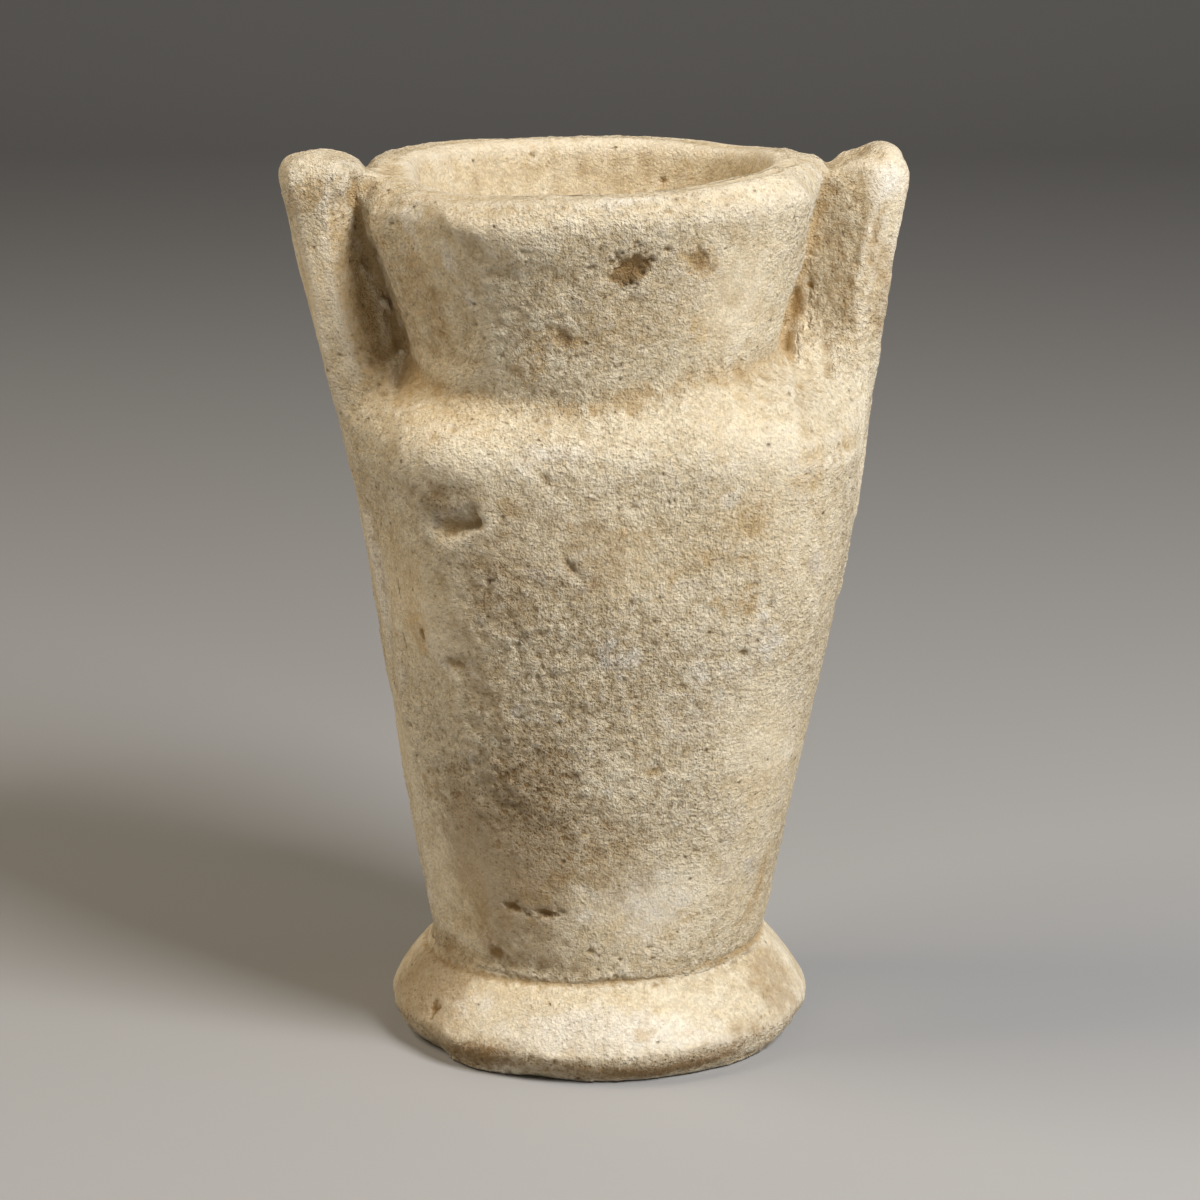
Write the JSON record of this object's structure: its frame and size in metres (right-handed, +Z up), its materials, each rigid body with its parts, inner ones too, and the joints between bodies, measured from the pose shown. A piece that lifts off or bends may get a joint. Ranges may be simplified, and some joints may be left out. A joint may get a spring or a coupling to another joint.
{
  "type": "limestone jar",
  "caption": "Hand-carved stone jar with a flared foot, tapering body, flaring neck and upright side lugs; hollow, open at the top.",
  "frame": {"origin": "middle of the jar's plan, on the flat sole that it stands on", "axes": "+Z up; the two side lugs lie along +X and -X; the front of the jar faces -Y"},
  "size_m": [0.0964, 0.0712, 0.1415],
  "materials": {
    "limestone": "matt, grainy and weathered, with pits, ochre stains and soil in the recesses"
  },
  "bodies": {
    "root": {"jar": "limestone"}
  },
  "joints": []
}
